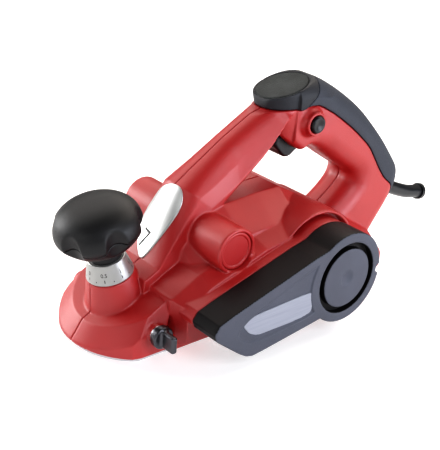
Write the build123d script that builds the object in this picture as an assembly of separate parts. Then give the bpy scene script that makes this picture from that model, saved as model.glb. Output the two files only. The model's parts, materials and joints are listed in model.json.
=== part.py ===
"""Electric hand planer, 82 mm, built as the separate pieces that it comes apart into.

Frame: millimetres, +X to the rear, +Y to the right of someone pushing it, +Z up.
The origin is on the face of the rear sole, on the centre plane, straight below the motor shaft.
"""

from build123d import *
import math
import os

os.makedirs("parts", exist_ok=True)

# Driving dimensions
SOLE_HALF = 41.0  # half the width of the rear sole
BODY_HALF = 42.6  # half the width of the housing beside the soles
FLANK_Y = -62.3  # plane where the belt cover meets the housing
COVER_Y = -85.2  # outer face of the belt cover
GRIP_HALF = 20.5  # half the width of the arm and the handle
WALL = 2.5  # housing wall
SOLE_THICK = 7.0
NOSE_X = -163.5
NOSE_LOW = 3.6  # lower rim of the nose, over the front shoe
SHOE_INSET = 3.6  # from the nose's outer face to the edge of the front shoe
SHOE_THICK = 4.0
STEP_X = -116.7  # groove between the nose and the body
SOLE_REAR = 100.0
REAR_CORNER = 21.0  # round rear corners of the sole and the body in plan

MOTOR = (0.0, 41.6)  # motor shaft, X and Z
MOTOR_R = 37.0  # motor housing
RING_R = 32.7  # round end of the belt cover
STATOR_R = 30.0
DRUM_R = 22.5  # cutter drum body
CUT_R = 24.0  # circle that the blade edges run on, tangent to the sole
DRUM = (-82.4, CUT_R)  # drum shaft, X and Z
CHAMBER_R = 26.5
CHUTE = (-71.9, 66.3)  # chip chute, X and Z
CHUTE_R = 15.6
CHUTE_BORE_R = 13.0
CHUTE_DUCT_R = 11.6  # duct between the two outlets
OUTLET_DEEP = 30.0
CHUTE_Y = 52.4

MOTOR_PULLEY_R = 8.0
DRUM_PULLEY_R = 11.0
BELT_GAP = 0.15
BELT_THICK = 1.2
BELT_Y = (-78.0, -67.0)

KNOB_TILT = 16.0  # degrees that the depth knob leans forward
KNOB_FOOT = (-128.2, 25.1)  # where its axis leaves the nose, X and Z

SHAFT_R = 4.0
DRUM_JOURNAL_R = 5.0
FIT = 0.05  # running clearance on a radius
LOCK = (18.6, 129.0)  # lock button, X and Z
TRIGGER_PIN = (26.0, 117.0)
GUIDE_BOLT = (-127.6, 19.6)
COVER_LUG = (33.0, 40.5)  # screw of the belt cover
LUG_R = 5.2
CLAMP_X = 101.0
BOSS_R = 4.6  # screw bosses across the split of the housing
SHAFT_ROOM_R = 11.0  # seats of the motor bearings

FORM_OUTLINE = [
    (-121, 8), (-121, 44), (-110.5, 50), (-84, 97.5), (-74, 103.5), (-14, 140.5), (-14, 147),
    (-7, 155.6), (7, 160.4), (20, 160.4), (32, 156.6), (54, 144.4), (78, 128), (105, 102),
    (120, 84.4), (127.5, 74.8), (128.5, 62.5), (124.4, 47.7), (116.7, 31.8), (107.6, 17), (103, 8),
]
WINDOW_OUTLINE = [
    (-2, 104.5), (8, 106.5), (23, 108), (38, 104), (57.6, 88.8), (75.5, 78), (75.5, 71),
    (67.3, 63.2), (52.6, 53), (43, 40), (10, 60), (-58, 70), (-58, 85.5), (-46, 94), (-28, 109),
    (-14, 121), (-7, 116),
]
HUMP_OUTLINE = [
    (-59, 40), (-59, 84.5), (-30, 87), (-9, 87), (3, 81.5), (24, 70), (50, 55), (71, 43),
    (94, 29), (94, 7), (-59, 7),
]
HUMP_FALL = 0.74  # drop of its flanks per millimetre beyond the flat middle
GRIP_OUTLINE = [
    (-30, 148), (3.6, 140), (12, 142.2), (28, 138), (45.6, 125.4), (64, 111.7), (84, 92.4),
    (94, 80.7), (97, 71), (97.4, 59.4), (140, 59.4), (140, 175), (-30, 175),
]
BODY_OUTLINE = [
    (-116.7, 7), (-116.7, 45), (-95, 52.6), (-48.6, 67.3), (-8, 74.6), (5, 74.6), (28, 64),
    (48, 47), (66, 38), (80, 27), (SOLE_REAR, 12), (SOLE_REAR, 7),
]
COVER_OUTLINE = [
    (-110.7, 40.4), (-115.2, 34.1), (-113.6, 29.3), (-93.3, 13.6), (-87, 9.6), (-80.8, 8.1),
    (-22.2, 16.3), (-5, 20), (-5, 66), (-21.2, 67.8),
]
HOUSING_SCREWS = [(-112, 33), (-93, 67), (-40, 111), (112, 48), (88, 28), (-50, 79)]
SHOE_SCREWS = [(-48, 30), (-48, -30), (80, 29), (80, -29)]


def outline(points, radius=0.0):
    """Closed face in the local X, Y plane, with its corners rounded."""
    if radius:
        return make_face(FilletPolyline(*points, radius=radius, close=True))
    return make_face(Polyline(*points, close=True))


def across(face, low_y, high_y):
    """Solid whose outline in X and Z is the face, from one Y plane to another."""
    return Pos(0, high_y, 0) * extrude(Plane.XZ * face, amount=high_y - low_y)


def rod(centre, radius, low_y, high_y):
    """Cylinder along Y about a point given as X and Z."""
    return across(Pos(centre[0], centre[1]) * Circle(radius), low_y, high_y)


def tube(centre, outer, inner, low_y, high_y):
    """Ring along Y about a point given as X and Z."""
    return rod(centre, outer, low_y, high_y) - rod(centre, inner, low_y - 1, high_y + 1)


def block(low, high):
    """Box between two corners."""
    size = [b - a for a, b in zip(low, high)]
    middle = [(a + b) / 2 for a, b in zip(low, high)]
    return Pos(*middle) * Box(*size)


knob_plane = Plane(
    origin=(KNOB_FOOT[0], 0, KNOB_FOOT[1]),
    x_dir=(math.cos(math.radians(KNOB_TILT)), 0, math.sin(math.radians(KNOB_TILT))),
    z_dir=(-math.sin(math.radians(KNOB_TILT)), 0, math.cos(math.radians(KNOB_TILT))),
)


def on_knob_axis(low, high, radius, top_radius=None):
    """Cylinder or cone about the knob's axis, between two heights along it."""
    height = high - low
    if top_radius is None:
        solid = Cylinder(radius, height)
    else:
        solid = Cone(radius, top_radius, height)
    return knob_plane * (Pos(0, 0, (low + high) / 2) * solid)


def nose_plan(inset=0.0):
    """Plan of the nose: straight sides, a corner facet and a bowed front."""
    side = BODY_HALF - inset
    corner = -143.7 + inset * 0.8
    tip = NOSE_X + inset
    edges = Line((STEP_X, side), (-138, side))
    edges += Line((-138, side), (corner, side - 1.6))
    edges += ThreePointArc((corner, side - 1.6), (tip, 0), (corner, 1.6 - side))
    edges += Line((corner, 1.6 - side), (-138, -side))
    edges += Line((-138, -side), (STEP_X, -side))
    edges += Line((STEP_X, -side), (STEP_X, side))
    return make_face(edges)


def nose_form(inset=0.0, bottom=NOSE_LOW):
    """Block of the nose, higher towards the body."""
    plan = Pos(0, 0, bottom) * extrude(nose_plan(inset), amount=60)
    side = [
        (NOSE_X + inset, bottom), (NOSE_X + inset, 7), (-152 + inset, 18 - inset),
        (-141 + inset, 26 - inset), (-133, 38 - inset), (STEP_X, 44 - inset), (STEP_X, bottom),
    ]
    return plan & across(outline(side), -60, 60)


def handle_form(inset=0.0):
    """Arm, handle and rear column as one slab with a window for the hand."""
    face = outline(FORM_OUTLINE, 3)
    window = outline(WINDOW_OUTLINE, 2.5)
    if inset:
        face = offset(face, amount=-inset, kind=Kind.INTERSECTION)
        window = offset(window, amount=inset, kind=Kind.INTERSECTION)
    half = GRIP_HALF - inset
    return across(face, -half, half) - across(window, -half - 1, half + 1)


def hump_form(inset=0.0):
    """Body over the motor: a flat spine whose flanks fall away to both sides."""
    face = outline(HUMP_OUTLINE)
    if inset:
        face = offset(face, amount=-inset, kind=Kind.INTERSECTION)
    solid = across(face, -GRIP_HALF, GRIP_HALF)
    reach = (BODY_HALF - inset - GRIP_HALF) * math.hypot(1, HUMP_FALL)
    for side in (-1, 1):
        edge = Pos(0, GRIP_HALF * side, 0) * (Plane.XZ * face)
        solid += extrude(edge, amount=reach, dir=(0, side, -HUMP_FALL))
    return solid & block((-200, -60, SOLE_THICK + inset), (200, 60, 200))


def rear_plan(inset=0.0):
    """Plan of the sole and the body behind the nose, with round rear corners."""
    length = 240
    plan = RectangleRounded(length, 2 * (BODY_HALF - inset), REAR_CORNER)
    return Pos(SOLE_REAR - inset - length / 2, 0) * plan


def belt_loop(extra, low_y, high_y):
    """Solid band shape around both pulleys, standing off them by a given distance."""
    circles = [
        Pos(MOTOR[0], MOTOR[1]) * Circle(MOTOR_PULLEY_R + extra),
        Pos(DRUM[0], DRUM[1]) * Circle(DRUM_PULLEY_R + extra),
    ]
    return across(make_hull([edge for circle in circles for edge in circle.edges()]), low_y, high_y)


def cover_form(inset, low_y, high_y):
    """Belt cover outline: a wedge that ends in a ring about the motor shaft."""
    wedge = offset(outline(COVER_OUTLINE, 1.5), amount=-inset, kind=Kind.INTERSECTION)
    return across(wedge, low_y, high_y) + rod(MOTOR, RING_R - inset, low_y, high_y)


def body_form(inset=0.0):
    """Body behind the nose: side profile, motor barrel and hump, rounded at the rear."""
    face = outline(BODY_OUTLINE)
    if inset:
        face = offset(face, amount=-inset, kind=Kind.INTERSECTION)
    half = BODY_HALF - inset
    solid = across(face, -half, half) + rod(MOTOR, MOTOR_R - inset, -half, half) + hump_form(inset)
    return solid & extrude(rear_plan(inset), amount=100)


# Housing: the whole outer form first, then its cavities, then the split into two halves
outer = body_form()
outer += nose_form()
outer += across(outline([(STEP_X, 1), (STEP_X, 30), (-81, 30), (-81, 1)]), -BODY_HALF, BODY_HALF)
outer += handle_form()
outer += on_knob_axis(-8, 20, 22, 16.4)
outer += rod(CHUTE, CHUTE_R, -CHUTE_Y, CHUTE_Y)
outer += across(Pos(DRUM[0] + 2, DRUM[1] + 3) * Circle(19.5), BODY_HALF, CHUTE_Y)
outer += across(outline([(-84, 10), (-84, 42), (-42, 38), (-38, 10)]), BODY_HALF, CHUTE_Y)
outer += rod(LOCK, 8.5, -25.0, -GRIP_HALF)
outer += rod(GUIDE_BOLT, 6.0, -45.0, -BODY_HALF)
outer += rod(GUIDE_BOLT, 6.0, BODY_HALF, 45.0)
cord_boss_plane = Plane(origin=(126, 0, 58), x_dir=(0, 1, 0), z_dir=(0.84, 0, -0.54))
outer += cord_boss_plane * (Pos(0, 0, -3) * Cylinder(11, 16))

bevel_high = [(-116, 30), (-116, 45.3), (-95, 52.6), (-48.6, 67.3), (-8, 74), (0, 30)]
bevel_low = [(-110, 30), (-109.7, 38.6), (-77.7, 50.2), (-50.7, 58), (-16, 68), (0, 30)]
outer += loft([
    Pos(0, -BODY_HALF, 0) * (Plane.XZ * outline(bevel_high)),
    Pos(0, -53.0, 0) * (Plane.XZ * outline(bevel_low)),
])
outer += cover_form(0, FLANK_Y, -BODY_HALF)

# The grip is a sleeve moulded over the top and the rear of the handle
GRIP_THICK = 3.5
grip_zone = across(outline(GRIP_OUTLINE, 2), -40, 40)
grip_core = handle_form(GRIP_THICK)
handle_grip = (handle_form() & grip_zone) - grip_core - rod(LOCK, 8.6, -30, 0)
handle_grip -= cord_boss_plane * (Pos(0, 0, -3) * Cylinder(11.1, 16))
outer -= handle_grip

# Cavities
motor_wall = rod(MOTOR, STATOR_R + WALL, -60, 60)
walls = motor_wall + rod(DRUM, CHAMBER_R + WALL, -60, 60) + rod(CHUTE, CHUTE_R, -60, 60)
walls += block((-83, -33, 36), (-61, 33, 66)) + on_knob_axis(-20, 30, 24)
for x, y in SHOE_SCREWS:
    walls += Pos(x, y, 16) * Cylinder(5, 18)
hollow = body_form(WALL) & block((-100, -60, SOLE_THICK + WALL), (100, 60, 90))
hollow -= walls
flank_room = cover_form(WALL, FLANK_Y + WALL, -BODY_HALF - WALL)
hollow += flank_room - walls
hollow += handle_form(GRIP_THICK + WALL) - on_knob_axis(-20, 30, 24) - motor_wall
hollow += rod(MOTOR, STATOR_R + 0.1, -41.0, BODY_HALF - WALL)
hollow += rod(MOTOR, 27.5, -59.0, -40.0)
hollow += rod(DRUM, CHAMBER_R, -40.6, 40.6)
hollow += rod(CHUTE, CHUTE_DUCT_R, -60, 60)
for low_y, high_y in ((-60, OUTLET_DEEP - CHUTE_Y), (CHUTE_Y - OUTLET_DEEP, 60)):
    hollow += rod(CHUTE, CHUTE_BORE_R, low_y, high_y)
hollow += block((-80, -30, 40), (-64, 30, 66))
hollow += nose_form(WALL, 0.0) - on_knob_axis(-2, 30, 24) - block((-135, -60, 11), (-110, -33, 28))
hollow -= block((-135, 33, 11), (-110, 60, 28))
hollow += block((STEP_X - 8, -40.1, -1), (-82, 40.1, 13)) + on_knob_axis(-26, -2.5, 11.5)
hollow += block((-80, -50, -5), (110, 50, SOLE_THICK))
hollow += across(outline([(34, 6), (34, 12), (60, 30), (80, 26), (100, 15), (100, 6)]), -24, 24)
cheek_zone = across(outline([(-82, 6), (-82, 37), (-41, 34), (-41, 6)]), -59.0, 50.2)
cheek_zone -= across(outline([(-140, 0), (-140, 60), (0, 60), (0, 0)]), -36, 36)
hollow += cheek_zone
hollow += rod(DRUM, 16.3, -59.0, -40.5) + rod(DRUM, 16.3, 40.5, 50.2)
hollow += rod(DRUM, 13.5, FLANK_Y - 1, -58)
hollow += rod(MOTOR, 11.5, FLANK_Y - 1, -58)
outer -= hollow

# Screw bosses across the split, and the seats of the bearings, the stator and the spindle
for place in HOUSING_SCREWS:
    outer += rod(place, BOSS_R, -15, 15)
seats = rod(MOTOR, 31.0, -52.0, -42.0) + rod(MOTOR, 31.0, 30.5, BODY_HALF - WALL)
outer += seats & across(outline([(-29, 14), (-29, 72), (29, 72), (29, 14)]), -60, 60)
outer -= rod(MOTOR, SHAFT_ROOM_R, -50.0, -43.0) + rod(MOTOR, SHAFT_ROOM_R, 31.0, 39.0)
outer -= rod(MOTOR, 9.0, -60, 45 - WALL)
for place in HOUSING_SCREWS:
    outer -= rod(place, 1.6, -13, 60) + rod(place, 3.4, 12, 60)
outer -= on_knob_axis(-30, 21, 5.2) + on_knob_axis(2, 16, 9.0)
outer -= rod(GUIDE_BOLT, 3.1, -50, -24) + rod(GUIDE_BOLT, 3.1, 24, 50)
outer -= rod(GUIDE_BOLT, 5.0, -43.5, -33.4) + rod(GUIDE_BOLT, 5.0, 33.4, 43.5)
outer -= rod(LOCK, 6.3, -30, -10)
trigger_slot = across(outline([(-10, 100), (-10, 124), (32, 124), (32, 100)]), -8.6, 8.6)
outer -= trigger_slot & handle_form(0.0)

# Cord sleeve: leaves the handle steeply and levels out
SLEEVE_R = 5.4
sleeve_points = [(108, 0, 66.5), (129.3, 0, 52.8), (146.9, 0, 45.0), (161, 0, 39.6), (180, 0, 35.7)]
sleeve_route = FilletPolyline(*sleeve_points, radius=[34, 50, 60])


def along_sleeve(radius):
    """Round solid that follows the cord sleeve."""
    start = Plane(origin=sleeve_route @ 0, z_dir=sleeve_route % 0)
    return sweep(start * Circle(radius), path=sleeve_route)


outer += block((97, -15, 50), (105, 15, 62)) & handle_form(4)
outer -= along_sleeve(SLEEVE_R + FIT)
outer += rod(COVER_LUG, LUG_R, FLANK_Y, -50)
outer -= rod(COVER_LUG, 1.9, FLANK_Y - 1, -52)
for side in (-1, 1):
    outer -= knob_plane * (Pos(0, 17 * side, 4) * Cylinder(2.6, 18))

# The drum chamber is open below, between the soles
outer -= block((-104, -40.6, -5), (-60, 40.6, 10))
for x, y in SHOE_SCREWS:
    outer -= Pos(x, y, 10) * Cylinder(2.1, 24)

left_half = block((-400, -200, -50), (400, 0, 400))
right_half = block((-400, 0, -50), (400, 200, 400))
housing_left = outer & left_half
housing_right = outer & right_half

# Soles
throat_edge = [
    (-66.5, 0), (-64, SOLE_THICK), (SOLE_REAR, SOLE_THICK), (SOLE_REAR, 2), (SOLE_REAR - 4, 0),
]
rear_shoe = across(outline(throat_edge), -SOLE_HALF, SOLE_HALF)
rear_shoe &= extrude(rear_plan(BODY_HALF - SOLE_HALF), amount=SOLE_THICK)
cheek = outline([(-82, 8.2), (-82, 36), (-42, 33), (-42, 8.2)])
for low_y, high_y in ((-53.0, -40.8), (40.8, 50.0)):
    rear_shoe += across(cheek, low_y, high_y) + rod(DRUM, 15.8, low_y, high_y)
for low_y, high_y in ((-41.0, -36.4), (36.4, 41.0)):
    rear_shoe += block((-55, low_y, 5), (-42, high_y, 30))
rear_shoe -= rod(DRUM, 13.0, -54, -44) + rod(DRUM, 7.0, -45, -40)
rear_shoe -= rod(DRUM, 11.0, 43, 51) + rod(DRUM, 7.0, 40, 44)
for x, y in SHOE_SCREWS:
    rear_shoe -= Pos(x, y, 5) * Cylinder(2.2, 12) + Pos(x, y, 1.6) * Cone(4.8, 2.2, 3.3)


def shoe_screw():
    """Countersunk screw, head down, its head just above the sole face."""
    return Pos(0, 0, 1.9) * Cone(4.1, 2.1, 2.6) + Pos(0, 0, 11.5) * Cylinder(2.1, 17)


base_screws = Compound(children=[Pos(x, y, 0) * shoe_screw() for x, y in SHOE_SCREWS])

front_shoe = extrude(nose_plan(SHOE_INSET), amount=SHOE_THICK)
front_shoe += block((STEP_X, -39.4, 0), (-101.5, 39.4, 5))
front_shoe += on_knob_axis(-21, -6, 10) & block((-200, -50, 1), (0, 50, 60))
front_shoe -= on_knob_axis(-40, 0, SHAFT_R + 1.0)
pins = [knob_plane * (Pos(0, 17 * side, -7) * Cylinder(2.5, 25)) for side in (-1, 1)]
for pin in pins:
    front_shoe -= pin
guide_pins = Compound(children=pins)

# Depth knob
spindle_bush = on_knob_axis(2, 16, 9.0) - on_knob_axis(1, 17, SHAFT_R + 1.0)
depth_spindle = on_knob_axis(-18, 52, SHAFT_R + 1.0 - FIT) - on_knob_axis(38, 53, 2.5)
depth_scale_ring = on_knob_axis(20.4, 30.6, 16.4, 13.4) - on_knob_axis(20, 31, SHAFT_R + 1.0 - FIT)
for tick in range(24):
    groove = Pos(0, 0, 22.5) * Rot(0, 0, 15 * tick) * Pos(15.9, 0, 0) * Box(1.0, 0.5, 3.0)
    depth_scale_ring -= knob_plane * groove
SCALLOPS = 6
KNOB_R = 29.3


def knob_revolve(points):
    """Solid turned about the knob's axis from a half section given as radius and height."""
    section = Plane.XZ * outline(points)
    return knob_plane * revolve(section, Axis.Z)


low_side = [
    (SHAFT_R + 1.0, 30.8), (11, 30.8), (11, 42), (17, 46), (27, 49), (29, 53), (29.2, 56),
    (8.5, 56), (8.5, 50), (SHAFT_R + 1.0, 50),
]
high_side = [
    (8.5, 56), (29.2, 56), (KNOB_R, 60), (28, 65), (24.5, 69.5), (18, 72.7), (9, 74.2), (0, 74.5),
    (0, 61), (8.5, 61),
]
knob_base = knob_revolve(low_side)
knob_cap = knob_revolve(high_side)
for i in range(SCALLOPS):
    turn = 360 / SCALLOPS * (i + 0.5)
    scallop = knob_plane * (Rot(0, 0, turn) * Pos(KNOB_R + 9.5, 0, 62) * Cylinder(12, 60))
    knob_base -= scallop
    knob_cap -= scallop
knob_screw = on_knob_axis(40, 52, 2.5) + on_knob_axis(52, 55.5, 6.0)

# Guide fastener and its inserts
x, z = GUIDE_BOLT
guide_inserts = Compound(children=[
    tube(GUIDE_BOLT, 5.0, 3.05, -43.5, -33.4),
    tube(GUIDE_BOLT, 5.0, 2.5, 33.4, 43.5),
])
guide_bolt = rod(GUIDE_BOLT, 3.0, -51, -28) + rod(GUIDE_BOLT, 7.6, -51, -46.2)
guide_bolt += block((x - 2.2, -63, z - 6), (x + 2.2, -51, z + 6)) & rod(GUIDE_BOLT, 7.6, -64, -50)
guide_washer = tube(GUIDE_BOLT, 6.5, 3.05, -46.1, -45.1)

def drum_part(radial_low, radial_high, across_low, across_high, low_y, high_y, turn):
    """Bar along the drum, placed by its distance from the axis and turned about it."""
    face = outline([
        (across_low, radial_low), (across_high, radial_low),
        (across_high, radial_high), (across_low, radial_high),
    ])
    return across(Pos(DRUM[0], DRUM[1]) * Rot(0, 0, turn) * face, low_y, high_y)


# Cutter drum, blades and drive
BLADE_TURNS = (25, 205)
DRUM_Y = 40.0
cutter_drum = rod(DRUM, DRUM_R, -DRUM_Y, DRUM_Y) + rod(DRUM, DRUM_JOURNAL_R, -78.8, -DRUM_Y)
cutter_drum += rod(DRUM, SHAFT_R, DRUM_Y, 50)
cutter_drum -= rod(DRUM, 2.5, -80, -66)
blades = []
blade_clamps = []
blade_screws = []
for turn in BLADE_TURNS:
    cutter_drum -= drum_part(12, 30, -4.0, 5.5, -DRUM_Y - 1, DRUM_Y + 1, turn)
    blades.append(drum_part(16, 23.8, -4.0, -2.8, -DRUM_Y, DRUM_Y, turn))
    clamp = drum_part(12, 21.4, -2.8, 3.2, -DRUM_Y, DRUM_Y, turn)
    for y in (-28, 0, 28):
        facing = Location((DRUM[0], y, DRUM[1])) * Rot(0, -turn, 0) * Pos(1.6, 0, 17) * Rot(0, 90, 0)
        screw = facing * Cylinder(2.4, 7.6)
        clamp -= screw
        blade_screws.append(screw)
    blade_clamps.append(clamp)
blades = Compound(children=blades)
blade_clamps = Compound(children=blade_clamps)
blade_screws = Compound(children=blade_screws)
drum_bearing_left = tube(DRUM, 13.0, DRUM_JOURNAL_R + FIT, -52, -44)
drum_bearing_right = tube(DRUM, 11.0, SHAFT_R + FIT, 43, 50)


def pulley(centre, radius, bore):
    """Ribbed-belt pulley with a flange at each side of the belt."""
    body = rod(centre, radius, -78.8, -66) + rod(centre, radius + 1.0, -67, -66)
    body += rod(centre, radius + 1.0, -78.8, -78.1)
    return body - rod(centre, bore, -80, -65)


drum_pulley = pulley(DRUM, DRUM_PULLEY_R, DRUM_JOURNAL_R)
drum_pulley_bolt = rod(DRUM, 2.5, -79, -66) + across(
    Pos(DRUM[0], DRUM[1]) * RegularPolygon(5.2, 6), -82, -79
)
motor_pulley = pulley(MOTOR, MOTOR_PULLEY_R, SHAFT_R)
nut_face = Pos(MOTOR[0], MOTOR[1]) * (RegularPolygon(6.6, 6) - Circle(SHAFT_R))
motor_pulley_nut = across(nut_face, -82.0, -78.9)
drive_belt = belt_loop(BELT_GAP + BELT_THICK, *BELT_Y) - belt_loop(BELT_GAP, BELT_Y[0] - 1, BELT_Y[1] + 1)

# Motor
armature_shaft = rod(MOTOR, SHAFT_R, -82.4, 39.5)
motor_bearing_left = tube(MOTOR, SHAFT_ROOM_R, SHAFT_R + FIT, -50, -43)
motor_bearing_right = tube(MOTOR, SHAFT_ROOM_R, SHAFT_R + FIT, 31, 38)
motor_stator = tube(MOTOR, STATOR_R, 16.8, -20, 14)
field_coils = tube(MOTOR, 27, 18, -27, -20.1) + tube(MOTOR, 27, 18, 14.1, 20.4)
field_coils -= block((-40, -30, 37), (40, 30, 46))
armature_core = tube(MOTOR, 16.0, SHAFT_R, -20, 14)
for i in range(12):
    slot = Pos(MOTOR[0], MOTOR[1]) * Rot(0, 0, 30 * i) * Pos(14.5, 0) * Rectangle(5, 2.2)
    armature_core -= across(slot, -21, 15)
armature_windings = tube(MOTOR, 14.5, 6.0, -26, -20) + tube(MOTOR, 14.5, 6.0, 14, 19.5)
commutator = tube(MOTOR, 9.4, SHAFT_R, 20.5, 29)
fan = tube(MOTOR, 25.5, SHAFT_R, -40, -38.5) + tube(MOTOR, 8.5, SHAFT_R, -40, -31)
for i in range(9):
    blade = Pos(MOTOR[0], MOTOR[1]) * Rot(0, 0, 40 * i) * Pos(16.5, 0) * Rot(0, 0, 20) * Rectangle(17, 1.2)
    fan += across(blade, -38.6, -31)
motor_baffle = tube(MOTOR, STATOR_R, 18, -29.5, -28)


def brush_side(side):
    """Holder, brush, spring and cap on one side of the commutator."""
    def bar(low, high, half_y, half_z):
        near, far = sorted((low * side, high * side))
        return block((near, 25 - half_y, MOTOR[1] - half_z), (far, 25 + half_y, MOTOR[1] + half_z))

    holder = bar(11, 27, 4.2, 4.7) - bar(10, 28, 3.0, 3.5)
    brush = bar(9.6, 20, 2.95, 3.45)
    coil = Pos(22.6 * side, 25, MOTOR[1]) * Rot(0, 90, 0) * (Cylinder(2.4, 5) - Cylinder(1.6, 6))
    cap = bar(27, 28.4, 4.2, 4.7) + bar(25.2, 27.1, 2.9, 3.4)
    return holder, brush, coil, cap


brush_holders, brushes, brush_springs, brush_caps = (
    Compound(children=list(pair)) for pair in zip(brush_side(-1), brush_side(1))
)

# Belt cover
belt_cover = cover_form(0, COVER_Y, FLANK_Y) - cover_form(2.2, COVER_Y + 2.2, FLANK_Y + 1)
belt_cover += rod(COVER_LUG, LUG_R, -79, FLANK_Y)
belt_cover -= rod(COVER_LUG, 2.1, -80, FLANK_Y + 1) + rod(COVER_LUG, 3.7, -90, -74)
belt_cover -= tube(MOTOR, 25.0, 21.0, COVER_Y - 1, COVER_Y + 1.2)
recess_face = outline([(-96.9, 32.3), (-85.4, 18.3), (-23.7, 26.1), (-29.1, 57.0)], 2)
recess = across(recess_face, COVER_Y - 1, COVER_Y + 0.8)
belt_cover -= recess - rod(MOTOR, RING_R - 0.5, COVER_Y - 2, COVER_Y + 2)
label_face = outline([(-90.4, 33.1), (-36.4, 51.4), (-34.6, 34.2), (-81, 25)], 2)
belt_cover_label = across(label_face, COVER_Y + 0.3, COVER_Y + 0.8)
belt_cover_screw = rod(COVER_LUG, 1.9, -74, -53) + rod(COVER_LUG, 3.4, -76.4, -74)

# Handle group
EAR_Y = 9.4  # outer faces of the switch's ears, which hold the trigger pin
PIN_R = 1.5
switch_body = block((2, -8, 124.5), (40, 8, 140))
for side in (-1, 1):
    near, far = sorted((8.25 * side, EAR_Y * side))
    switch_body += block((22, near, 114.4), (30, far, 126))
    near, far = sorted((7.9 * side, EAR_Y * side))
    switch_body += block((22, near, 124.5), (30, far, 128))
switch_body -= rod(TRIGGER_PIN, PIN_R, -12, 12)
trigger_pin = rod(TRIGGER_PIN, PIN_R, -EAR_Y, EAR_Y)
trigger_edge = [
    (6.7, 101.2), (-4.3, 111.5), (-0.6, 119.5), (10, 121), (24, 121), (30, 119), (30, 112), (19, 104.2),
]
trigger_face = outline(trigger_edge, 1.2)
trigger = across(trigger_face, -8, 8) - rod(TRIGGER_PIN, PIN_R + FIT, -9, 9)
trigger_spring = Pos(8, 0, 122.8) * (Cylinder(3, 3.4) - Cylinder(2.2, 4))
lock_button = rod(LOCK, 6.2, -27.2, -13.0) + rod(LOCK, 7.6, -14.4, -13.0)
lock_button -= rod(LOCK, 3.2, -21, -12) + Pos(LOCK[0], -35.0, LOCK[1]) * Sphere(8.6)
lock_button_spring = tube(LOCK, 2.8, 2.0, -17.8, -8.1)
suppressor = block((60, -7, 100), (78, 7, 110))
cord_clamp = block((97.5, -12, 62), (104.5, 12, 65.5))
cord_clamp_screws = []
for side in (-1, 1):
    hole = Pos(CLAMP_X, 9 * side, 60) * Cylinder(1.5, 11)
    cord_clamp -= hole
    housing_left -= hole
    housing_right -= hole
    cord_clamp_screws.append(hole + Pos(CLAMP_X, 9 * side, 66.5) * Cylinder(2.8, 2))
cord_clamp_screws = Compound(children=cord_clamp_screws)
cord_sleeve = along_sleeve(SLEEVE_R)
sleeve_end = Plane(origin=sleeve_route @ 1, z_dir=sleeve_route % 1)
cord_sleeve += sleeve_end * (Pos(0, 0, -1.5) * Cylinder(6.8, 3))
cord_sleeve -= along_sleeve(3.4) + sleeve_end * Cylinder(3.4, 8)

# Chute plug, chip deflector, indicator plate and case screws
chute_plug = rod(CHUTE, CHUTE_BORE_R - FIT, -50.6, -47) + tube(CHUTE, CHUTE_BORE_R - FIT, 11, -47.1, -40)
chip_deflector = tube(DRUM, 26.3, 25.4, -38, 38) & across(
    outline([(DRUM[0], DRUM[1]), (-160, 20), (-160, 70), (-96, 70)]), -40, 40
)
arm_foot, arm_brow = (Vector(x, 0, z) for x, z in FORM_OUTLINE[2:4])
arm_normal = (arm_brow - arm_foot).cross(Vector(0, 1, 0)).normalized()
plate_plane = Plane(origin=(arm_foot + arm_brow) / 2 + arm_normal * FIT, x_dir=(0, 1, 0), z_dir=arm_normal)
plate_face = make_hull((Pos(0, 12) * Circle(14)).edges() + (Pos(0, -21) * Circle(5.5)).edges())
indicator_plate = plate_plane * extrude(plate_face, amount=0.9)
housing_screws = Compound(children=[
    rod(place, 1.6, -12.5, 12) + rod(place, 3.3, 12, 14.4) for place in HOUSING_SCREWS
])

parts = {
    "housing_left": housing_left,
    "housing_right": housing_right,
    "housing_screws": housing_screws,
    "handle_grip": handle_grip,
    "rear_shoe": rear_shoe,
    "base_screws": base_screws,
    "front_shoe": front_shoe,
    "shoe_guide_pins": guide_pins,
    "spindle_bush": spindle_bush,
    "depth_spindle": depth_spindle,
    "depth_scale_ring": depth_scale_ring,
    "knob_base": knob_base,
    "knob_cap": knob_cap,
    "knob_screw": knob_screw,
    "guide_inserts": guide_inserts,
    "guide_bolt": guide_bolt,
    "guide_washer": guide_washer,
    "cutter_drum": cutter_drum,
    "blades": blades,
    "blade_clamps": blade_clamps,
    "blade_screws": blade_screws,
    "drum_bearing_left": drum_bearing_left,
    "drum_bearing_right": drum_bearing_right,
    "drum_pulley": drum_pulley,
    "drum_pulley_bolt": drum_pulley_bolt,
    "drive_belt": drive_belt,
    "motor_pulley": motor_pulley,
    "motor_pulley_nut": motor_pulley_nut,
    "armature_shaft": armature_shaft,
    "armature_core": armature_core,
    "armature_windings": armature_windings,
    "commutator": commutator,
    "motor_fan": fan,
    "motor_baffle": motor_baffle,
    "motor_bearing_left": motor_bearing_left,
    "motor_bearing_right": motor_bearing_right,
    "motor_stator": motor_stator,
    "field_coils": field_coils,
    "brush_holders": brush_holders,
    "brushes": brushes,
    "brush_springs": brush_springs,
    "brush_caps": brush_caps,
    "belt_cover": belt_cover,
    "belt_cover_label": belt_cover_label,
    "belt_cover_screw": belt_cover_screw,
    "switch_body": switch_body,
    "trigger": trigger,
    "trigger_pin": trigger_pin,
    "trigger_spring": trigger_spring,
    "lock_button": lock_button,
    "lock_button_spring": lock_button_spring,
    "suppressor": suppressor,
    "cord_sleeve": cord_sleeve,
    "cord_clamp": cord_clamp,
    "cord_clamp_screws": cord_clamp_screws,
    "chute_plug": chute_plug,
    "chip_deflector": chip_deflector,
    "indicator_plate": indicator_plate,
}
for name, shape in parts.items():
    export_step(shape, os.path.join("parts", name + ".step"))
print(len(parts), "parts written")
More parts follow.
